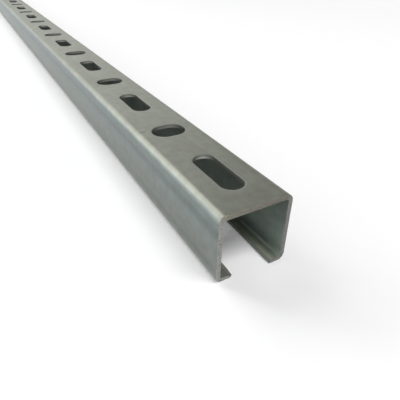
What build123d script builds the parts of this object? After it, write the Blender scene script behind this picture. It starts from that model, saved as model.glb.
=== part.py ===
"""Slotted strut channel: one metre of plain-lipped C section, roll-formed from a punched galvanised strip.

The bar lies along X with its web on top and its two lips on the floor. Its origin is at the middle of its
length and width, on the plane that the lips rest on. The end that the first slot is measured from is at +X.
All sizes are in millimetres.
"""
import math
import os

from build123d import *

# Section
channel_length = 1000.0
channel_width = 28.0
channel_height = 28.0
strip_thickness = 1.75
bend_inner_radius = 1.0
mouth_width = 15.0

# Slots in the web, long and cross slots by turns
slot_pitch = 40.0
first_slot_distance = 24.0
long_slot_length = 26.5
long_slot_width = 9.0
cross_slot_length = 14.5
cross_slot_width = 11.5
least_end_land = 2.0

# What follows from them
bend_outer_radius = bend_inner_radius + strip_thickness
near_end_x = channel_length / 2
slot_run = channel_length - first_slot_distance - long_slot_length / 2 - least_end_land
slot_count = 1 + math.floor(slot_run / slot_pitch)


def slot_places(first):
    """Every second slot's place along the web, counted from the near end."""
    numbers = range(first, slot_count, 2)
    return [(near_end_x - first_slot_distance - number * slot_pitch, 0) for number in numbers]


with BuildPart() as strut_channel:
    # The strip's outer face runs from lip edge to lip edge round four bends; the thickness lies inside it.
    with BuildSketch(Plane.YZ.offset(-channel_length / 2)):
        with BuildLine():
            FilletPolyline(
                (-mouth_width / 2, 0),
                (-channel_width / 2, 0),
                (-channel_width / 2, channel_height),
                (channel_width / 2, channel_height),
                (channel_width / 2, 0),
                (mouth_width / 2, 0),
                radius=bend_outer_radius,
            )
            offset(amount=strip_thickness, side=Side.RIGHT)
        make_face()
    extrude(amount=channel_length)

    # The punch goes straight down through the web and through nothing below it.
    with BuildSketch(Plane.XY.offset(channel_height)):
        with Locations(*slot_places(first=0)):
            SlotOverall(long_slot_length, long_slot_width)
        with Locations(*slot_places(first=1)):
            SlotOverall(cross_slot_length, cross_slot_width, rotation=90)
    extrude(amount=-strip_thickness, mode=Mode.SUBTRACT)

strut_channel.part.label = "strut_channel"

os.makedirs("parts", exist_ok=True)
export_step(strut_channel.part, "parts/strut_channel.step")

print(f"{slot_count} slots; volume {strut_channel.part.volume / 1000:.2f} cm3")
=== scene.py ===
# %% [markdown]
# # A slotted strut channel in galvanised steel
# Strut channel is the rail that pipes, cable trays and ducts are hung from. It begins as a flat strip of
# galvanised steel. A punch cuts long and cross slots by turns down the middle of the strip, and then a row
# of rolls bends it about four lines into a C with two plain lips. This lesson makes it in that same order,
# in Geometry Nodes, gives it a zinc finish, and sets it on a pale studio floor.
#
# The packed model comes first. It is the frame that everything else is placed in, in metres: the channel
# lies along X with its web on top, and its lips rest on the floor.

# %% Load the packed frame
import math

import bmesh
import bpy
from mathutils import Matrix, Vector


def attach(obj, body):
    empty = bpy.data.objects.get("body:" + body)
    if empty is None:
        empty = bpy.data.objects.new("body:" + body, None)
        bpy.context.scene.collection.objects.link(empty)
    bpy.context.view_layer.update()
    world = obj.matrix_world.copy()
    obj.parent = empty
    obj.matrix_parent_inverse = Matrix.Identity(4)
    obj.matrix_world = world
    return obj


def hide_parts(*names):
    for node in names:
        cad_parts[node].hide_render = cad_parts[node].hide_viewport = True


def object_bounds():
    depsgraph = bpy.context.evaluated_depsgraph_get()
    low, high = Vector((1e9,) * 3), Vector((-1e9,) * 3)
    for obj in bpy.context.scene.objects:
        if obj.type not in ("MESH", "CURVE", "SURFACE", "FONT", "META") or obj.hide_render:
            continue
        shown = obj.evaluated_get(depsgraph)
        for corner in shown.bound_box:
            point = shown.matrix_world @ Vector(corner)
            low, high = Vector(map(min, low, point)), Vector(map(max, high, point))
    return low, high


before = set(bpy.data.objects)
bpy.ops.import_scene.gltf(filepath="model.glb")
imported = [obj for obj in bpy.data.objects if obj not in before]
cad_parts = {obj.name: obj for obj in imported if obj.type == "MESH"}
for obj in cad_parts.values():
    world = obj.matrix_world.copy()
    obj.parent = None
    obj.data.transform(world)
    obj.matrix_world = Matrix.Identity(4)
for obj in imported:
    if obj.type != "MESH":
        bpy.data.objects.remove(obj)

MM = 0.001
CHANNEL = "strut_channel"
cad_low, cad_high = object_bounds()
cad_sides = [round((high - low) / MM, 2) for low, high in zip(cad_low, cad_high)]
print("CAD box, mm:", cad_sides)

# %% [markdown]
# ## The camera
# A long bar is best seen from just outside one end, a little to its left and from above: the slots, the
# side wall and the open end then show in one picture. The camera stands only seven centimetres beyond the
# end, which is what makes the channel shrink so quickly towards its far end. It could be aimed with a
# constraint, but three plain angles are easier to read and to change.

# %% Stand the camera by the near end
CAMERA_PLACE = Vector((571.84, -61.15, 92.56)) * MM
HEADING, DIP, ROLL = (math.radians(angle) for angle in (150.53, 34.13, 0.28))
SENSOR_WIDTH, FOCAL_LENGTH = 36.0, 33.485
NEAREST_SEEN = 5 * MM
camera_data = bpy.data.cameras.new("camera")
camera_data.sensor_width = SENSOR_WIDTH
camera_data.lens = FOCAL_LENGTH
camera_data.clip_start = NEAREST_SEEN
camera = bpy.data.objects.new("camera", camera_data)
camera.matrix_world = (
    Matrix.Translation(CAMERA_PLACE)
    @ Matrix.Rotation(HEADING - math.pi / 2, 4, "Z")
    @ Matrix.Rotation(math.pi / 2 - DIP, 4, "X")
    @ Matrix.Rotation(ROLL, 4, "Z")
)
bpy.context.scene.collection.objects.link(camera)
bpy.context.scene.camera = camera
print("the camera stands", round((CAMERA_PLACE.x - cad_high.x) / MM), "mm beyond the near end")

# %% [markdown]
# ## Node trees as plain Python
# Both the shape and the finish are made of nodes, and a sum of six Math nodes is hard to read as a list of
# links. So a `Wire` stands for the output of a node. Python's own operators on it add the Math nodes, and
# `1 - mask` works as well as `mask * 2`, because the reflected operators are there too. Where a vector or a
# colour takes part, the operator adds a Vector Math node, because a Math node would turn it into one
# number.

# %% The wire
class Wire:
    """One output of a node. Arithmetic on it adds nodes to its tree and gives the wire of their result."""

    def __init__(self, bench, socket):
        self.bench, self.socket = bench, socket

    def out(self, name):
        """Another output of the node that this wire comes from."""
        return Wire(self.bench, self.socket.node.outputs[name])

    def math(self, operation, *others):
        """A Math node whose first value is this wire."""
        values = dict(enumerate((self, *others)))
        return self.bench.add("ShaderNodeMath", {"operation": operation}, values)

    def pair(self, operation, first, second):
        """A Math node, or a Vector Math node where either side is a vector or a colour."""
        kind, sides = "ShaderNodeMath", (first, second)
        if any(isinstance(side, Wire) and side.socket.type in ("VECTOR", "RGBA") for side in sides):
            kind = "ShaderNodeVectorMath"
            sides = [(side,) * 3 if isinstance(side, (int, float)) else side for side in sides]
        return self.bench.add(kind, {"operation": operation}, dict(enumerate(sides)))

    def __add__(self, other):
        return self.pair("ADD", self, other)

    def __sub__(self, other):
        return self.pair("SUBTRACT", self, other)

    def __rsub__(self, other):
        return self.pair("SUBTRACT", other, self)

    def __mul__(self, other):
        return self.pair("MULTIPLY", self, other)

    def __truediv__(self, other):
        return self.pair("DIVIDE", self, other)

    def __rtruediv__(self, other):
        return self.pair("DIVIDE", other, self)

    __radd__, __rmul__ = __add__, __mul__

    def __neg__(self):
        return self * -1

    def __abs__(self):
        return self.math("ABSOLUTE")

    def __pow__(self, power):
        return self.math("POWER", power)

    def __gt__(self, other):
        return self.math("GREATER_THAN", other)

    def __lt__(self, other):
        return self.math("LESS_THAN", other)


print("a wire knows", sum(name.startswith("__") for name in vars(Wire)), "special methods")

# %% [markdown]
# ### The bench
# A `Bench` is a node tree with one method, `add`, for every other kind of node. A node's settings go in
# before its values, because some settings, such as a noise's dimensions, decide which inputs the node has.

# %% The bench
class Bench:
    """A node tree on which nodes are set down one call at a time."""

    def __init__(self, tree):
        self.tree = tree

    def add(self, kind, settings=None, values=None, out=0):
        """A node of a kind. Its settings come first, then the values or wires of its inputs."""
        node = self.tree.nodes.new(kind)
        for name, setting in (settings or {}).items():
            if name == "stops":
                self.set_stops(node.color_ramp, setting)
            elif name == "items":
                for extra in range(setting - len(node.index_switch_items)):
                    node.index_switch_items.new()
            else:
                setattr(node, name, setting)
        for name, value in (values or {}).items():
            for one in value if isinstance(value, list) else [value]:
                if isinstance(one, Wire):
                    self.tree.links.new(one.socket, node.inputs[name])
                else:
                    node.inputs[name].default_value = one
        return Wire(self, node.outputs[out]) if node.outputs else node

    def set_stops(self, ramp, stops):
        """Gives a colour ramp its stops, each a place and a colour."""
        while len(ramp.elements) < len(stops):
            ramp.elements.new(1.0)
        for element, (place, colour) in zip(ramp.elements, stops):
            element.position, element.color = place, colour

    def vector(self, x=0.0, y=0.0, z=0.0):
        """Three numbers or wires as one vector."""
        return self.add("ShaderNodeCombineXYZ", values={"X": x, "Y": y, "Z": z})

    def split(self, vector):
        """The three parts of a vector."""
        parts = self.add("ShaderNodeSeparateXYZ", values={"Vector": vector})
        return parts, parts.out("Y"), parts.out("Z")


def ramp(value, low, high):
    """A wire that climbs from 0 to 1 while the value goes from low to high."""
    return value.bench.add("ShaderNodeMapRange", {"clamp": True}, {
        "Value": value, "From Min": low, "From Max": high, "To Min": 0.0, "To Max": 1.0})


print("the bench adds any node; ramp turns a distance into a mask")

# %% [markdown]
# ## The sizes, as inputs of the tree
# A roll-former's drawing has few numbers: the section, the inside radius of its bends, and the slots. They
# are the named inputs of the tree, so that the same tree makes any rail of this family. The length, the
# width and the height come from the packed box, and the rest are written here. All are in millimetres, and
# they reach the tree in metres.

# %% A tree with the channel's sizes as its inputs
shape_tree = bpy.data.node_groups.new("roll_formed_channel", "GeometryNodeTree")
shape = Bench(shape_tree)
shape_tree.interface.new_socket("Geometry", in_out="OUTPUT", socket_type="NodeSocketGeometry")
channel_sizes = {
    **dict(zip(("Length", "Width", "Height"), cad_sides)),
    "Mouth": 15.0, "Thickness": 1.75, "Bend radius": 1.0, "Slot pitch": 40.0, "First slot": 24.0,
    "Long slot length": 26.5, "Long slot width": 9.0, "Cross slot length": 14.5, "Cross slot width": 11.5,
}
size_sockets = {
    name: shape_tree.interface.new_socket(name, in_out="INPUT", socket_type="NodeSocketFloat")
    for name in channel_sizes
}
tree_inputs = shape_tree.nodes.new("NodeGroupInput")
size = {name: Wire(shape, tree_inputs.outputs[name]) for name in channel_sizes}
print(len(size), "named sizes")

# %% [markdown]
# ## The middle line of the section
# When sheet is bent, its outer face stretches, its inner face shrinks, and a line near the middle of the
# thickness keeps its length. That middle line is all that is needed to turn the flat strip into the
# section: a point of the strip that lies so far across goes so far along the line. The line is a polyline
# through the six corners of the C, rounded by a Fillet Curve node. An index switch hands each point its
# corner.

# %% Draw the middle line
ARC_STEPS = 24


def line_through(corners):
    """A curve that joins the given corners in order."""
    by_number = {str(number): corner for number, corner in enumerate(corners)}
    place = shape.add("GeometryNodeIndexSwitch", {"data_type": "VECTOR", "items": len(corners)},
                      {"Index": shape.add("GeometryNodeInputIndex"), **by_number})
    row = shape.add("GeometryNodeMeshLine", values={"Count": len(corners), "Offset": (MM, 0.0, 0.0)})
    row = shape.add("GeometryNodeSetPosition", values={"Geometry": row, "Position": place})
    return shape.add("GeometryNodeMeshToCurve", values={"Mesh": row})


half_thickness = size["Thickness"] / 2
wall_y = size["Width"] / 2 - half_thickness
web_z = size["Height"] - half_thickness
section_corners = [
    shape.vector(0.0, side * y, z)
    for side, y, z in (
        (-1, size["Mouth"] / 2, half_thickness), (-1, wall_y, half_thickness), (-1, wall_y, web_z),
        (1, wall_y, web_z), (1, wall_y, half_thickness), (1, size["Mouth"] / 2, half_thickness),
    )
]
middle_line = shape.add("GeometryNodeFilletCurve", {"mode": "POLY"}, {
    "Curve": line_through(section_corners), "Radius": size["Bend radius"] + half_thickness,
    "Count": ARC_STEPS, "Limit Radius": False,
})
strip_width = shape.add("GeometryNodeCurveLength", values={"Curve": middle_line})
print(len(section_corners), "corners, of which", len(section_corners) - 2, "are bent")

# %% [markdown]
# ## The flat strip
# The blank is a long thin box with many points across, so that the bends come out round, and few along,
# because nothing bends that way. A Mesh Cube node with points on its sides gives exactly that, with its
# faces joined at every edge. The points along the bar are all gathered at its two ends, where the cut is.

# %% Lay out the blank
ACROSS_STEPS = 288
THROUGH_STEPS = 6
ALONG_POINTS = 12
NEAR_REACH, FAR_REACH = 2.6 * MM, 1.25 * MM
TINY = 0.01 * MM
strip = shape.add("GeometryNodeMeshCube", values={
    "Size": shape.vector(size["Length"], strip_width, size["Thickness"]),
    "Vertices X": ALONG_POINTS, "Vertices Y": ACROSS_STEPS + 1, "Vertices Z": THROUGH_STEPS + 1,
})
position = shape.add("GeometryNodeInputPosition")
along, across, depth = shape.split(position)
half_length, half_width = size["Length"] / 2, strip_width / 2
innermost_share = 1 - 1 / (ALONG_POINTS - 1)
near_end = along > 0.0
end_reach = FAR_REACH + near_end * (NEAR_REACH - FAR_REACH)
from_end = ((1 - abs(along) / half_length) / innermost_share) ** 2 * end_reach
from_edge = half_width - abs(across)
at_edge = from_edge < TINY
print("the blank:", ALONG_POINTS, "x", ACROSS_STEPS + 1, "x", THROUGH_STEPS + 1, "points on its sides")

# %% [markdown]
# ### Its edges
# What makes the box look like cut strip is its border. The slitting wheels pull the outer skin down before
# they bite, so that skin droops along the strip's long edges, and the edge itself bulges between them. The
# bar's ends are cut later, nearly square, with a fine break at the outer skin and a thin burr at the inner
# one. The lips' free corners are rounded off, and the left one at the near end is knocked thinner. Bevels
# could round all of this, but evenly, and a real cut edge is never the same on both sides.

# %% Work the blank's edges
SLIT_DROOP = (0.60 * MM, 0.38 * MM)
END_BREAK = (0.22 * MM, 0.07 * MM)
CORNER_ROUND = 0.5 * MM
KNOCK_ROUND, KNOCK_DEPTH, KNOCK_REACH = 0.6 * MM, 0.75 * MM, 4.5 * MM
EDGE_BULGE = 0.12 * MM
BURR = 0.10 * MM


def rounded_off(distance, reach, depth):
    """How far the skin has sunk near an edge: a quarter of an ellipse, reach long and depth deep."""
    share = distance.math("MINIMUM", reach) / reach
    return (1 - (1 - (1 - share) ** 2).math("SQRT")) * depth


droop = rounded_off(from_edge, *SLIT_DROOP).math("MAXIMUM", rounded_off(from_end, *END_BREAK))
outer_share = (depth / half_thickness).math("MAXIMUM", 0.0)
to_end = 1 - (from_end / end_reach).math("MINIMUM", 1.0)
knock = near_end * (across < 0.0) * to_end ** 2
thinned = knock * (1 - (from_edge / KNOCK_REACH).math("MINIMUM", 1.0)) ** 2 * KNOCK_DEPTH
rounding = to_end ** 3 * CORNER_ROUND + knock * KNOCK_ROUND
bulge = abs(depth / half_thickness) ** 4 * EDGE_BULGE
on_burr = (from_end < TINY) * (depth < TINY - half_thickness)
strip = shape.add("GeometryNodeSetPosition", values={"Geometry": strip, "Position": shape.vector(
    along.math("SIGN") * (half_length - from_end - (1 - on_burr) * BURR),
    across - across.math("SIGN") * at_edge * (bulge + rounding),
    depth - outer_share * droop - (depth / half_thickness + 1) / 2 * thinned,
)})
print("slit edge droops over", round(SLIT_DROOP[0] / MM, 2), "mm")
print("burr stands out", round(BURR / MM, 2), "mm")

# %% [markdown]
# ## The rim of a punched slot
# A punch doesn't leave a plain square edge. Here it comes from the inside of the web. It first drags the
# inner skin into a soft roll-over, then shears a smooth bright band, and at last the metal tears: that part
# of the wall is rough and a little flared. The outer skin gives way a little round the hole before it
# breaks, so that the web sinks by an eighth of a millimetre towards each slot. The section of that rim is a
# short curve, and Curve to Mesh sweeps it round each slot's outline. A boolean cut could make the hole, but
# not this rim.

# %% Draw the section of the rim
RIM_LAND = 1.20 * MM
RIM_SINK = 0.13 * MM
ROLL_OVER, ROLL_DEPTH = 0.45 * MM, 0.30 * MM
TEAR_SHARE, TEAR_FLARE = 0.24, 0.12 * MM
BREAK_EDGE, BREAK_FLARE = 0.04 * MM, 0.108 * MM
TEAR_FOOT, FOOT_FLARE = 0.08 * MM, 0.03 * MM
# The sunk skin's points are shares of its width, and the roll-over's are degrees of a quarter turn.
SINK_STEPS = (1.0, 0.75, 0.55, 0.38, 0.24, 0.12, 0.04)
ROLL_STEPS = range(0, 91, 15)
sunk_skin = half_thickness - RIM_SINK
tear_end = half_thickness - size["Thickness"] * TEAR_SHARE
rim_points = [
    (half_thickness - RIM_SINK * (1 - share) ** 2, TEAR_FLARE + (RIM_LAND - TEAR_FLARE) * share)
    for share in SINK_STEPS
]
rim_points += [
    (sunk_skin - BREAK_EDGE, BREAK_FLARE), (tear_end + TEAR_FOOT, FOOT_FLARE), (tear_end, 0.0),
]
rim_points += [
    (ROLL_DEPTH * (1 - math.sin(angle)) - half_thickness, ROLL_OVER * (1 - math.cos(angle)))
    for angle in map(math.radians, ROLL_STEPS)
]
rim_points.append((-half_thickness, RIM_LAND))
rim_section = line_through([shape.vector(outward, -up) for up, outward in rim_points])
print(len(rim_points), "points round the rim's section")

# %% [markdown]
# ## Slots by turns
# The punch has two tools and works by turns: a long slot, then a cross slot, and so on down the strip. A
# Mesh Line gives one point per stroke. Even points get the long outline and odd ones the cross outline, by
# the selections of two Instance on Points nodes. An Array modifier could set them out too, but here the
# number of strokes follows from the length of the bar.

# %% Set out the slots
ROUND_STEPS = 12
SHORT_OF_FULL = 0.999
LEAST_END_LAND = 2.0 * MM


def slot_outline(length_x, length_y, radius):
    """A slot's edge from above. Its rounds stop just short of meeting, so that no points are doubled."""
    box = shape.add("GeometryNodeCurvePrimitiveQuadrilateral",
                    values={"Width": length_x, "Height": length_y})
    return shape.add("GeometryNodeFilletCurve", {"mode": "POLY"}, {
        "Curve": box, "Radius": radius * SHORT_OF_FULL, "Count": ROUND_STEPS, "Limit Radius": True,
    })


slot_run = size["Length"] - size["First slot"] - size["Long slot length"] / 2 - LEAST_END_LAND
strokes = shape.add("GeometryNodeMeshLine", values={
    "Count": (slot_run / size["Slot pitch"]).math("FLOOR") + 1,
    "Start Location": shape.vector(size["Length"] / 2 - size["First slot"]),
    "Offset": shape.vector(-size["Slot pitch"]),
})
turn_number = shape.add("GeometryNodeInputIndex").math("MODULO", 2.0)
long_slot = slot_outline(size["Long slot length"], size["Long slot width"], size["Long slot width"] / 2)
cross_slot = slot_outline(size["Cross slot width"], size["Cross slot length"], size["Cross slot width"] / 2)
placed_slots = [
    shape.add("GeometryNodeInstanceOnPoints", values={
        "Points": strokes, "Selection": selection, "Instance": outline})
    for selection, outline in ((1 - turn_number, long_slot), (turn_number, cross_slot))
]
outlines = shape.add("GeometryNodeRealizeInstances", values={
    "Geometry": shape.add("GeometryNodeJoinGeometry", values={"Geometry": placed_slots})})
rims = shape.add("GeometryNodeCurveToMesh", values={"Curve": outlines, "Profile Curve": rim_section})
print("a slot every", channel_sizes["Slot pitch"], "mm")

# %% [markdown]
# ## The skins of the web
# The flat middle of the strip is taken out of the box, and two new skins with holes in them take its place.
# A skin's outer border is the border of what was taken out, and its holes are the upper borders of the
# rims, so all the points match and the steel closes without a seam. Fill Curve fills between them. A place
# in the box is asked for by a share of its size, a little to the safe side of the points.

# %% Open the web and fill round the slots
WEB_STEPS = 36
STEP_SLACK = 0.1
MIDDLE_SHARE, SKIN_SHARE = 0.1, 0.9
BETWEEN_ONE_AND_TWO = 1.5
in_middle = abs(along) < size["Length"] * MIDDLE_SHARE
in_web_width = abs(across) < strip_width * ((WEB_STEPS + STEP_SLACK) / ACROSS_STEPS)
on_skin = abs(depth) > half_thickness * SKIN_SHARE
web_parts = shape.add("GeometryNodeSeparateGeometry", {"domain": "FACE"},
                      {"Geometry": strip, "Selection": in_middle * in_web_width * on_skin})
faces_at_edge = shape.add("GeometryNodeInputMeshEdgeNeighbors")
borders = shape.add("GeometryNodeMeshToCurve", values={
    "Mesh": shape.add("GeometryNodeJoinGeometry", values={"Geometry": [web_parts, rims]}),
    "Selection": (faces_at_edge < BETWEEN_ONE_AND_TWO) * (depth > 0.0),
})
skin = shape.add("GeometryNodeFillCurve", {"mode": "TRIANGLES"}, {"Curve": borders})
skins = [
    shape.add("GeometryNodeTransform", values={"Geometry": skin, "Translation": shape.vector(z=lift)})
    for lift in (half_thickness, -half_thickness)
]
skins[1] = shape.add("GeometryNodeFlipFaces", values={"Mesh": skins[1]})
print(len(skins), "skins,", 2 * WEB_STEPS, "of the", ACROSS_STEPS, "steps wide")

# %% [markdown]
# ## What the finish needs to know
# Before the parts are joined, each point writes down how deep it is in a cut edge: on the wall of a slot,
# on its torn part, at the bar's cut end, or on a slit edge. The points also store a painted highlight on the
# side of each slot wall that faces the near end, turned a little towards the left wall, and weaker in the
# cross slots than in the long ones. Vertex paint could hold the same, but it would have to be painted again
# for every new size.

# %% Store the cut places
# The painted highlight on the slot walls: how much weaker it is in the cross slots, and how far it turns
# towards the left wall.
CROSS_HIGHLIGHT_LOSS = 0.15
HIGHLIGHT_TURN = math.radians(25)
WALL_SHARE = 0.99


def store(geometry, name, value, kind="FLOAT"):
    """Writes a value on every point under a name that a material can read."""
    return shape.add("GeometryNodeStoreNamedAttribute", {"data_type": kind, "domain": "POINT"},
                     {"Geometry": geometry, "Name": name, "Value": value})


in_wall = (depth < sunk_skin - TINY) * (depth > -half_thickness * WALL_SHARE)
into_x, into_y = shape.split(shape.add("GeometryNodeInputNormal"))[:2]
# How much each slot wall faces the near end, turned towards the left wall: that share gets the painted
# highlight.
toward_near_end = (into_y * math.sin(HIGHLIGHT_TURN) - into_x * math.cos(HIGHLIGHT_TURN)).math("MAXIMUM", 0.0)
stroke = ((half_length - size["First slot"] - along) / size["Slot pitch"]).math("ROUND")
highlight_share = 1 - stroke.math("MODULO", 2.0) * CROSS_HIGHLIGHT_LOSS
rims = store(rims, "slot_wall", in_wall)
rims = store(rims, "torn", in_wall * (depth > tear_end - TINY))
rims = store(rims, "shined", in_wall * toward_near_end * highlight_share)
at_cut_end = abs(along) > half_length - BURR - TINY
at_slit = abs(across) > half_width - EDGE_BULGE - rounding - TINY
strip_left = store(web_parts.out("Inverted"), "cut_end", at_cut_end)
strip_left = store(strip_left, "slit_edge", at_slit)
print("five kinds of cut metal are marked on the points")

# %% [markdown]
# ## Welding
# The parts are joined and their doubled points merged, which leaves one closed skin. Each point then stores
# where it lay on the flat strip, so that the streaks, the lines and the painted light and shade can run
# along the strip and pass round the bends unbroken. The parts could be welded by hand in edit mode, but a
# new size would open every seam again.

# %% Weld the blank
WELD = 0.004 * MM
blank = shape.add("GeometryNodeMergeByDistance", values={
    "Geometry": shape.add("GeometryNodeJoinGeometry", values={"Geometry": [strip_left, rims, *skins]}),
    "Distance": WELD,
})
blank = store(blank, "flat_place", position, "FLOAT_VECTOR")
print("points within", round(WELD / MM, 3), "mm are one")

# %% [markdown]
# ## The rolls
# Three nodes are the whole rolling mill. Sample Curve finds the place on the middle line that is as far
# along it as the point is across the strip, and Set Position steps off it at right angles by the point's
# depth in the thickness. Four Simple Deform modifiers, one for each bend, would do as well, but they would
# have to be placed again for every new width. The bar's near end is cut last and by hand: the cut leans back
# by a millimetre at its lower left corner, and the torn face is finely ragged.

# %% Bend the strip
RAGGED, PITS_PER_METRE = 0.14 * MM, 2100.0
PIT_STRETCH, PIT_EDGES = 0.4, (0.45, 0.75)
LEAN, LEAN_WIDTH = 1.0 * MM, 10 * MM
NEAR_END_SHARE = 0.9
spot = shape.add("GeometryNodeSampleCurve", {"mode": "LENGTH", "use_all_curves": True}, {
    "Curves": middle_line, "Length": across + half_width,
})
line_y, line_z = shape.split(spot.out("Position"))[1:]
tangent_y, tangent_z = shape.split(spot.out("Tangent"))[1:]
rolled_y, rolled_z = line_y - tangent_z * depth, line_z + tangent_y * depth
pits = shape.add("ShaderNodeTexNoise", {"noise_dimensions": "3D"}, {
    "Vector": shape.vector(along, across, depth * PIT_STRETCH), "Scale": PITS_PER_METRE, "Detail": 2.0,
})
ragged = at_cut_end * ramp(pits, *PIT_EDGES) * RAGGED
at_near_end = along > half_length * NEAR_END_SHARE
lean = at_near_end * ramp(-rolled_y, 0.0, LEAN_WIDTH) * ramp(-rolled_z, -size["Height"], 0.0) * LEAN
rolled = shape.add("GeometryNodeSetPosition", values={"Geometry": blank, "Position": shape.vector(
    along - along.math("SIGN") * ragged - lean, rolled_y, rolled_z,
)})
print("bent on", ARC_STEPS, "points a corner;", len(shape_tree.nodes), "nodes so far")

# %% [markdown]
# ### Smooth bends, sharp cuts
# The faces are shaded smooth, so that the bends look round, apart from the edges where two faces fold
# sharply. Those are the cut edges, and smooth shading would smear light over them. The Smooth by Angle
# modifier does the same, but with two more nodes the tree's result needs nothing more.

# %% Shade the skin
SHARP_FOLD = math.radians(32)
rolled = shape.add("GeometryNodeSetShadeSmooth", {"domain": "FACE"}, {"Geometry": rolled})
fold = shape.add("GeometryNodeInputMeshEdgeAngle") > SHARP_FOLD
rolled = shape.add("GeometryNodeSetShadeSmooth", {"domain": "EDGE"}, {
    "Geometry": rolled, "Selection": fold, "Shade Smooth": False,
})
print("edges sharper than", round(math.degrees(SHARP_FOLD)), "degrees stay sharp")

# %% [markdown]
# ## The zinc finish
# Strip of this kind is dipped in zinc before it is rolled. The coat is a satin grey metal with hardly any
# spangle. It has faint clouds and long streaks where the rolls rubbed it, and a darker, bluish band below
# each bend of the web is painted shade. Where the steel was cut after dipping, at the ends, the slot walls
# and the slit edges, the metal is bare, browner and finely torn. One Principled shader makes all of it: what
# changes over the surface is its colour, how metallic it is, its roughness and its normal.

# %% Start the zinc
zinc = bpy.data.materials.new("galvanised_steel")
zinc.use_nodes = True
zinc.node_tree.nodes.clear()
finish = Bench(zinc.node_tree)
# A Mix node has inputs of one name for numbers, vectors and colours, so those for colours go by number.
MIX_FACTOR, MIX_FIRST, MIX_SECOND, MIX_COLOUR = 0, 6, 7, 2


def noise(vector, scale, detail=2.0):
    """Noise between 0 and 1 over a vector."""
    return finish.add("ShaderNodeTexNoise", {"noise_dimensions": "3D"}, {
        "Vector": vector, "Scale": scale, "Detail": detail})


def blend(amount, first, second):
    """A colour between two colours, or between two wires of colour."""
    return finish.add("ShaderNodeMix", {"data_type": "RGBA"},
                      {MIX_FACTOR: amount, MIX_FIRST: first, MIX_SECOND: second}, out=MIX_COLOUR)


def attribute(name, output="Fac"):
    """A value that the shape's tree stored on the points."""
    return finish.add("ShaderNodeAttribute", {"attribute_name": name}, out=output)


flat_place = attribute("flat_place", "Vector")
flat_x, flat_across, flat_depth = finish.split(flat_place)
from_centre = abs(flat_across)
outside = flat_depth > 0.0
print("the finish reads the flat strip's own places")

# %% [markdown]
# ### Clouds, streaks and grain
# Four noises make the coat's own unevenness, from clouds a couple of centimetres wide to fine streaks, and
# a fifth is the grain. Two of them are stretched along the bar, as the rolls dragged the coat. A scanned
# zinc texture would look as rich, but its clouds would repeat down the length of the bar.

# %% Lay out the coat's unevenness
# The scales say how many times a noise turns from light to dark in a metre, more or less.
CLOUD_SCALE, MOTTLE_SCALE, GRAIN_SCALE = 55.0, 260.0, 2600.0
SKIN_APART = 400


def drawn_out(along_scale, across_scale, detail):
    """A noise stretched along the bar. It differs between the strip's two skins."""
    drawn = finish.vector(flat_x * along_scale, flat_across * across_scale, flat_depth * SKIN_APART)
    return noise(drawn, 1.0, detail)


clouds = noise(flat_place, CLOUD_SCALE, detail=3.0)
mottle = noise(flat_place, MOTTLE_SCALE, detail=3.0)
bands = drawn_out(along_scale=5, across_scale=260, detail=1.0)
streaks = drawn_out(along_scale=14, across_scale=1100, detail=3.0)
grain = noise(flat_place, GRAIN_SCALE, detail=2.0)
print(len(zinc.node_tree.nodes), "nodes in the finish so far")

# %% [markdown]
# ### Lines along the bar
# Soft lines run along the bar at fixed distances from the bends: a lighter one close below the web's bend,
# two darker ones on the wall, and a light one where the lower bend begins, which is a painted highlight. The
# web's right bend is painted a little darker than its left one, as shade. Each line is a soft hump over the
# distance across the flat strip, which costs five Math nodes. A stretched noise couldn't be told where to
# put its lines.

# %% Draw the lines along the bar
bend_radius, sheet = channel_sizes["Bend radius"] * MM, channel_sizes["Thickness"] * MM
bend_length = math.pi / 2 * (bend_radius + sheet / 2)
bend_start = channel_sizes["Width"] * MM / 2 - sheet - bend_radius
bend_end = bend_start + bend_length
wall_end = bend_end + channel_sizes["Height"] * MM - 2 * (sheet + bend_radius)
lip_start = wall_end + bend_length
strip_half = lip_start + bend_start - channel_sizes["Mouth"] * MM / 2

# Each line: millimetres past the web's bend, half its width in millimetres, and how much lighter it is.
LINES_ALONG_WALL = ((1.8, 1.2, 0.04), (4.6, 1.9, -0.14), (19.3, 1.5, -0.10), (22.8, 1.3, 0.18))
# The right bend's darker line is painted shade.
RIGHT_BEND_SHADE = (0.4, 1.1, -0.15)


def line_at(distance, half_line):
    """A soft line along the bar at a distance from the strip's middle."""
    return 1 / (1 + ((from_centre - distance) / half_line) ** 4)


past_bend, half_line, gain = RIGHT_BEND_SHADE
lines_and_bend_shade = (flat_across > 0.0) * line_at(bend_start + past_bend * MM, half_line * MM) * gain
# The last line, where the lower bend begins, is a painted highlight.
for past_bend, half_line, gain in LINES_ALONG_WALL:
    lines_and_bend_shade = lines_and_bend_shade + line_at(bend_end + past_bend * MM, half_line * MM) * gain
lines_and_shade_tone = 1 + lines_and_bend_shade * outside
print("flat strip, mm: bend", round(bend_start / MM, 2), "to", round(bend_end / MM, 2), "and wall to",
      round(wall_end / MM, 2), "of", round(strip_half / MM, 2))

# %% [markdown]
# ### Marks from handling
# A bar that has lain in a rack carries a few small rub marks. Each is a soft dark spot at a place on the
# flat strip, with its own reach along and across. A short list of them is plainer than one more noise, and
# keeps them rare.

# %% Rub marks
# Each mark: place along and across, reach along and across, all in millimetres, and strength.
RUB_MARKS = ((432.6, -10.3, 0.45, 1.3, 0.7), (338.0, 9.0, 1.6, 0.8, 0.2), (120.0, 24.0, 3.0, 0.7, 0.3),
             (-60.0, -30.0, 5.0, 0.6, 0.3), (-250.0, 6.0, 1.5, 0.7, 0.3), (214.0, 33.0, 2.4, 0.6, 0.25))
marked = 0.0
for mark_x, mark_across, reach_x, reach_across, strength in RUB_MARKS:
    off_x = (flat_x - mark_x * MM) / (reach_x * MM)
    off_across = (flat_across - mark_across * MM) / (reach_across * MM)
    marked = strength / (1 + (off_x * off_x + off_across * off_across) ** 2) * outside + marked
print(len(RUB_MARKS), "rub marks")
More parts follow.
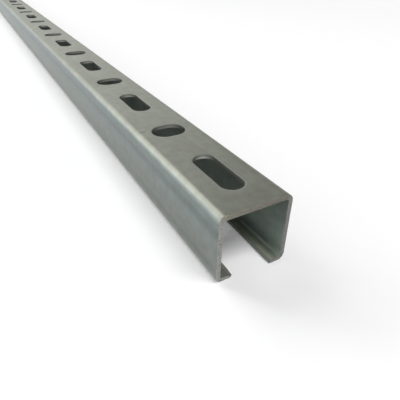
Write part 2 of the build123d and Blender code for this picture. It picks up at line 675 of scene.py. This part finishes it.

# %% [markdown]
# ### Bare steel
# Steel that was cut after the zinc bath has no coat. At the bar's ends it is speckled and browner on the web
# than on the walls, and it is painted lighter towards the left wall and darker towards the right one, as
# light falls on the cut, with painted glints on short stretches where the burr stands. The slots' walls are
# painted dark, as shade, with a painted highlight on the side that faces the near end, and their torn part
# is darker still. The slit edges of the lips are a dull grey. A tint that changes across the strip is a
# Color Ramp, and its stops are written here as distances from the strip's middle.

# %% Mix the bare steel
BROWN_REACH = bend_end - 3.4 * MM
# The end's colour across the strip: browner on the web, and painted lighter towards the left wall's end and
# darker towards the right one's, as light falls on the cut.
END_STEEL_AND_PAINTED_LIGHT = ((-bend_end, (0.332, 0.332, 0.317)), (-BROWN_REACH, (0.230, 0.216, 0.172)),
             (BROWN_REACH, (0.178, 0.168, 0.144)), (bend_end, (0.220, 0.220, 0.210)))
SPECKLE = (0.085, 0.080, 0.074, 1.0)
# Painted glints on short stretches of the burr at the inner skin.
BURR_PAINTED_GLINT = (0.42, 0.40, 0.37, 1.0)
# The slot walls are painted dark, as shade, and painted light where they face the near end, a painted
# highlight.
SLOT_PAINTED_SHADE = (0.150, 0.152, 0.136, 1.0)
SLOT_PAINTED_HIGHLIGHT = (0.92, 0.92, 0.89, 1.0)
TORN = (0.108, 0.110, 0.098, 1.0)
TEAR_SCALE = 1300.0
SPECKLE_EDGES, SPECKLE_SHARE = (0.50, 0.72), 0.7
BURR_BAND = (0.60 * MM, 0.87 * MM)
BURR_EDGES, BURR_SHARE = (0.45, 0.60), 0.5
TORN_SHARE = 0.85


def tint_across(distance, stops):
    """A tint that changes over a distance on the strip. Each stop is a distance and its colour."""
    first, last = stops[0][0], stops[-1][0]
    places = [((place - first) / (last - first), (*colour, 1.0)) for place, colour in stops]
    return finish.add("ShaderNodeValToRGB", {"stops": places}, {"Fac": ramp(distance, first, last)})


slot_wall, torn, shined = attribute("slot_wall"), attribute("torn"), attribute("shined")
cut_end, slit_edge = attribute("cut_end"), attribute("slit_edge")
tears = noise(flat_place, TEAR_SCALE, detail=3.0)
near_inner_skin = ramp(-flat_depth, *BURR_BAND)
end_steel_and_painted_light = blend(ramp(tears, *SPECKLE_EDGES) * SPECKLE_SHARE, tint_across(flat_across, END_STEEL_AND_PAINTED_LIGHT), SPECKLE)
end_steel_and_painted_light = blend(near_inner_skin * ramp(mottle, *BURR_EDGES) * BURR_SHARE, end_steel_and_painted_light, BURR_PAINTED_GLINT)
# The painted highlight on the slot walls lies over their painted shade; the torn part keeps its own dark
# colour.
slot_highlight = shined ** 3
slot_wall_tear_and_painted_light = blend(slot_highlight, SLOT_PAINTED_SHADE, SLOT_PAINTED_HIGHLIGHT)
slot_wall_tear_and_painted_light = blend(torn * TORN_SHARE, slot_wall_tear_and_painted_light, TORN)
print(len(END_STEEL_AND_PAINTED_LIGHT), "stops of bare steel across the cut end")

# %% [markdown]
# ### The coat's colour
# The coat's clouds choose between two greys. Two tints of painted light and shade lie over them. On the
# outside the web and the start of each bend are painted a little lighter, and the walls a cooler and darker
# grey, most of all below the bend, as painted shade. On the inside the left lip is painted dark and a dark
# line runs where the right lip begins, both painted shade; the inside walls are painted a bluer grey, and
# the right lip grows paler towards its free edge, as painted light. A noise could make the greys, but it
# doesn't know where the corners are.

# %% Mix the coat
ZINC_LIGHT = (0.309, 0.323, 0.272, 1.0)
ZINC_DARK = (0.219, 0.229, 0.192, 1.0)
# Painted light and shade across the outside: a lighter web and bend starts, darker and cooler walls.
OUTSIDE_PAINTED_LIGHT = (
    (bend_start, (1.07, 1.07, 1.06)), (bend_start + 1.0 * MM, (1.09, 1.07, 1.07)),
    (bend_start + 2.0 * MM, (0.94, 1.00, 1.07)), (bend_end + 0.1 * MM, (0.74, 0.84, 0.96)),
    (bend_end + 4.2 * MM, (0.69, 0.795, 0.92)), (bend_end + 11.3 * MM, (0.76, 0.82, 0.91)),
    (wall_end, (0.80, 0.82, 0.90)),
)
# Painted light and shade across the inside: a dark left lip and lip crease, bluer walls, a paler right lip.
INSIDE_PAINTED_LIGHT = (
    (-strip_half, (0.76, 0.75, 0.76)), (-wall_end - 1.5 * MM, (0.70, 0.70, 0.68)),
    (-wall_end + 2.9 * MM, (1.03, 1.15, 1.18)), (bend_end, (0.96, 1.05, 1.07)),
    (wall_end - 5.0 * MM, (0.99, 1.14, 1.20)), (wall_end - 2.0 * MM, (0.80, 0.94, 1.00)),
    (wall_end + 1.5 * MM, (1.02, 1.16, 1.22)),
    (lip_start + 0.35 * MM, (0.74, 0.77, 0.72)), (lip_start + 1.8 * MM, (1.12, 1.16, 1.10)),
    (strip_half, (1.52, 1.60, 1.50)),
)
CLOUD_SHARE, MOTTLE_SHARE, BAND_SHARE, STREAK_SHARE = 0.25, 0.40, 0.20, 0.15
TONE_EDGES = (0.35, 0.65)
tone = clouds * CLOUD_SHARE + mottle * MOTTLE_SHARE + bands * BAND_SHARE + streaks * STREAK_SHARE
coat = blend(ramp(tone, *TONE_EDGES), ZINC_DARK, ZINC_LIGHT)
painted_light_tint = blend(outside, tint_across(flat_across, INSIDE_PAINTED_LIGHT), tint_across(from_centre, OUTSIDE_PAINTED_LIGHT))
print(len(INSIDE_PAINTED_LIGHT) + len(OUTSIDE_PAINTED_LIGHT), "stops across the strip")

# %% [markdown]
# ### Towards the cut end
# Towards the near end the light and shade are painted differently from farther in. Over the last eleven
# centimetres the web is painted a little darker, as shade, and the light line on its bends is painted
# stronger, a painted highlight; over the last few millimetres the inside is painted paler about its lower
# bends, as painted light. Each of these is a soft line across the strip that fades out along the bar, so it
# stays with the end if the bar is made longer. Vertex paint would stay behind.

# %% Shade the near end
# Each place of painted light and shade: its distance from the strip's middle, half its width, its reach into
# the bar from the near end, how much paler it is painted there, and whether it lies on the outside.
NEAR_END_PAINTED_LIGHT = (
    (0.0, 14.0 * MM, 110 * MM, -0.125, True),
    (bend_end - 0.7 * MM, 0.7 * MM, 110 * MM, 0.34, True),
    (wall_end + 0.1 * MM, 1.3 * MM, 8.0 * MM, 1.15, False),
    (wall_end - 6.5 * MM, 5.5 * MM, 4.5 * MM, 0.28, False),
)
into_bar = channel_sizes["Length"] * MM / 2 - flat_x
near_end_light_and_shade = 0.0
for distance, half_line, reach, gain, on_outside in NEAR_END_PAINTED_LIGHT:
    on_its_side = outside if on_outside else 1 - outside
    near_end_light_and_shade = line_at(distance, half_line) * (1 - ramp(into_bar, 0.0, reach)) * on_its_side * gain + near_end_light_and_shade
# The coat takes its painted light and shade here: the tints, the lines along the bar and the near end's
# places.
coat = coat * painted_light_tint * (lines_and_shade_tone + near_end_light_and_shade)
print(len(NEAR_END_PAINTED_LIGHT), "places change towards the near end")

# %% [markdown]
# ### The whole finish
# One shader carries it all. The marks darken the coat, and the bare steel lies over both. Torn places are
# rougher than the coat, the slot walls are smoother and less metallic where their painted highlight lies,
# and the inside, which no roll polished, is duller than the outside. The coat is only half metallic, because
# its thin oxide skin scatters light like paint. Zinc and steel could be two materials on different faces,
# but the change from one to the other would be a hard line.

# %% Lay the bare steel and the marks over the coat
MARKED = (0.07, 0.065, 0.06, 1.0)
SLIT_DARK = (0.250, 0.255, 0.235, 1.0)
SLIT_EDGES = (0.2, 0.5)
colour = blend(marked, coat, MARKED)
colour = blend(slot_wall, colour, slot_wall_tear_and_painted_light)
colour = blend(cut_end, colour, end_steel_and_painted_light)
colour = blend(slit_edge * ramp(tears, *SLIT_EDGES), colour, SLIT_DARK)
print(len(zinc.node_tree.nodes), "nodes make the colour")

# %% Put the finish together
# How rough the coat is, and what each thing adds to that or takes away.
COAT_ROUGH, CLOUDS_ROUGH, STREAKS_ROUGH, INSIDE_ROUGH = 0.43, 0.10, 0.08, 0.12
# The slot walls are smoother, and less metallic, where their painted highlight lies.
HIGHLIGHT_SMOOTH, TORN_ROUGH, SLIT_ROUGH = 0.10, 0.20, 0.20
NOISE_MIDDLE = 0.5
# How high each thing stands, before the bump's own strength and height.
GRAIN_HEIGHT, STREAK_HEIGHT, TEAR_HEIGHT = 0.3, 0.5, 2.0
BUMP_STRENGTH, BUMP_HEIGHT = 0.25, 0.02 * MM
COAT_METALLIC, HIGHLIGHT_METALLIC_LOSS = 0.55, 0.35
dullness = COAT_ROUGH + (clouds - NOISE_MIDDLE) * CLOUDS_ROUGH + (streaks - NOISE_MIDDLE) * STREAKS_ROUGH
dullness = dullness + (1 - outside) * INSIDE_ROUGH
dullness = dullness - shined * HIGHLIGHT_SMOOTH + torn * TORN_ROUGH + slit_edge * SLIT_ROUGH
bumps = finish.add("ShaderNodeBump", values={
    "Height": grain * GRAIN_HEIGHT + streaks * STREAK_HEIGHT + (cut_end + torn) * tears * TEAR_HEIGHT,
    "Strength": BUMP_STRENGTH, "Distance": BUMP_HEIGHT,
})
metal = finish.add("ShaderNodeBsdfPrincipled", values={
    "Base Color": colour, "Metallic": COAT_METALLIC - slot_highlight * HIGHLIGHT_METALLIC_LOSS, "Roughness": dullness,
    "Normal": bumps,
})
finish.add("ShaderNodeOutputMaterial", values={"Surface": metal})
print(len(zinc.node_tree.nodes), "nodes in the whole finish")

# %% [markdown]
# ## Running the tree
# The tree hangs on an empty mesh as a modifier. Its sizes are set by the sockets' identifiers before the
# object is evaluated for the first time. The evaluated result is then made a plain mesh, and the object
# that carried the modifier goes.

# %% Make the channel
dressed = shape.add("GeometryNodeSetMaterial", values={
    "Geometry": shape.add("GeometryNodeRealizeInstances", values={"Geometry": rolled}), "Material": zinc,
})
tree_output = shape_tree.nodes.new("NodeGroupOutput")
shape_tree.links.new(dressed.socket, tree_output.inputs["Geometry"])

maker = bpy.data.objects.new("maker", bpy.data.meshes.new("maker"))
bpy.context.scene.collection.objects.link(maker)
mill = maker.modifiers.new("mill", "NODES")
mill.node_group = shape_tree
for name, socket in size_sockets.items():
    mill[socket.identifier] = channel_sizes[name] * MM
evaluated = maker.evaluated_get(bpy.context.evaluated_depsgraph_get())
channel_mesh = bpy.data.meshes.new_from_object(evaluated)
bpy.data.objects.remove(maker)
print(len(channel_mesh.vertices), "points in the channel")

# %% [markdown]
# ### Closed, and the right way out
# The skins, rims and edges met by their points alone, so the mesh is tested: the edges that lack two faces
# are counted, and the volume is worked out. It is a little under the packed solid's, because the edges here
# are rounded. The normals are made to point outwards on the welded skin. Then the channel takes the packed
# part's place and moves with its body.

# %% Test the skin and hand the channel over
skin_check = bmesh.new()
skin_check.from_mesh(channel_mesh)
bmesh.ops.recalc_face_normals(skin_check, faces=skin_check.faces)
open_edges = sum(not edge.is_manifold for edge in skin_check.edges)
volume = skin_check.calc_volume(signed=True)
skin_check.to_mesh(channel_mesh)
skin_check.free()
channel = bpy.data.objects.new("channel", channel_mesh)
bpy.context.scene.collection.objects.link(channel)
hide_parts(CHANNEL)
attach(channel, "root")
triangles = sum(len(face.vertices) - 2 for face in channel_mesh.polygons)
print(f"{triangles} triangles, {open_edges} open edges, {volume * 1e6:.2f} cm3")

# %% [markdown]
# ## The studio floor
# The floor is plain and pale. Its white comes from its own colour and from a little light of its own that
# only the camera and reflections see, so that it stays white without more lamps, and the channel's shadow
# still falls on it. Farther from the bar, where the lamps don't reach, the floor turns into plain white,
# and so it has no visible edge. A curved backdrop would hide the edge too, but only from one side.

# %% Lay the floor
FLOOR_REACH = 12.0
FLOOR_COLOUR = (0.86, 0.86, 0.86, 1.0)
FLOOR_GLOW = 0.165
LIT_REACH, PLAIN_WHITE_FROM = 0.35, 1.0
corners = [(x * FLOOR_REACH, y * FLOOR_REACH, 0.0) for x, y in ((-1, -1), (1, -1), (1, 1), (-1, 1))]
floor_mesh = bpy.data.meshes.new("floor")
floor_mesh.from_pydata(corners, [], [(0, 1, 2, 3)])
floor = bpy.data.objects.new("floor", floor_mesh)
bpy.context.scene.collection.objects.link(floor)
paint = bpy.data.materials.new("studio_floor")
paint.use_nodes = True
paint.node_tree.nodes.clear()
floor_bench = Bench(paint.node_tree)
ray = floor_bench.add("ShaderNodeLightPath")
seen = ray + ray.out("Is Glossy Ray") + ray.out("Is Transmission Ray")
matt = floor_bench.add("ShaderNodeBsdfDiffuse", values={"Color": FLOOR_COLOUR})
glow = floor_bench.add("ShaderNodeEmission", values={"Strength": seen * FLOOR_GLOW})
near_floor = floor_bench.add("ShaderNodeAddShader", values={0: matt, 1: glow})
plain_white = floor_bench.add("ShaderNodeEmission", values={"Strength": seen})
floor_x, floor_y = floor_bench.split(floor_bench.add("ShaderNodeNewGeometry"))[:2]
past_end = (abs(floor_x) - cad_high.x).math("MAXIMUM", 0.0)
from_bar = (past_end * past_end + floor_y * floor_y) ** 0.5
far_off = ramp(from_bar, LIT_REACH, PLAIN_WHITE_FROM)
floor_bench.add("ShaderNodeOutputMaterial", values={
    "Surface": floor_bench.add("ShaderNodeMixShader", values={0: far_off, 1: near_floor, 2: plain_white})})
floor_mesh.materials.append(paint)
print("the floor is plain white from", PLAIN_WHITE_FROM, "m off the bar")

# %% [markdown]
# ## The lamps
# Satin metal shows the lamps as broad soft patches, so each is a square soft box far larger than the bar is
# wide. Three stand beyond the bar's far end to its left, one above another. They make the web grow lighter
# along its length, and the highest ones draw the broad light line on the left bend. A weak one stands
# beyond the far end to the right. Two hang high over the near end: they light its cut and reach into the
# mouth. A bright sky alone would light the bar as well, but its bends would look flat.

# %% Hang the lamps
WIDE_BOX, SMALL_BOX = 1.4, 0.7
LAMP_DISTANCE = 2.4
LAMP_AIM = Vector((0.3, 0.0, 0.02))
WHITE, COOL = (1.0, 1.0, 1.0), (0.93, 0.965, 1.0)
# Each lamp: heading and height in degrees, seen from the bar, side in metres, watts, and colour.
LAMPS = {
    "back_high": (200, 45, WIDE_BOX, 21.1, WHITE),
    "back_middle": (215, 25, SMALL_BOX, 7.7, WHITE),
    "back_low": (220, 8, WIDE_BOX, 14.65, COOL),
    "behind_right": (160, 25, WIDE_BOX, 2.8, WHITE),
    "over_mouth": (0, 60, SMALL_BOX, 16.25, WHITE),
    "over_mouth_right": (30, 60, SMALL_BOX, 17.3, WHITE),
}
for name, (heading, height, side, watts, tinge) in LAMPS.items():
    turn, lift = math.radians(heading), math.radians(height)
    offset = Vector((math.cos(lift) * math.cos(turn), math.cos(lift) * math.sin(turn), math.sin(lift)))
    lamp = bpy.data.lights.new(name, "AREA")
    lamp.shape, lamp.size, lamp.energy, lamp.color = "SQUARE", side, watts, tinge
    box = bpy.data.objects.new(name, lamp)
    box.location = LAMP_AIM + offset * LAMP_DISTANCE
    box.rotation_euler = (-offset).to_track_quat("-Z", "Y").to_euler()
    bpy.context.scene.collection.objects.link(box)
print(len(LAMPS), "lamps,", round(sum(lamp[3] for lamp in LAMPS.values())), "W in all")

# %% [markdown]
# ## The sky
# The room round the bar is a smooth gradient: white where it meets the floor, and darker and darker
# overhead, so that the web doesn't mirror a bright ceiling. It falls with the square of how far a direction
# is from level.

# %% Paint the sky
world = bpy.data.worlds.new("studio")
bpy.context.scene.world = world
world.use_nodes = True
world.node_tree.nodes.clear()
sky = Bench(world.node_tree)
upward = sky.split(sky.add("ShaderNodeTexCoord"))[2]
brightness = (1 - abs(upward)) ** 2
background = sky.add("ShaderNodeBackground", values={"Color": (*WHITE, 1.0), "Strength": brightness})
sky.add("ShaderNodeOutputWorld", values={"Surface": background})
print("sky:", len(world.node_tree.nodes), "nodes, white at the horizon")

# %% [markdown]
# ## The picture's settings
# The view transform is plain, so that colours come out as they are written.

# %% Set the view
bpy.context.scene.view_settings.view_transform = "Standard"
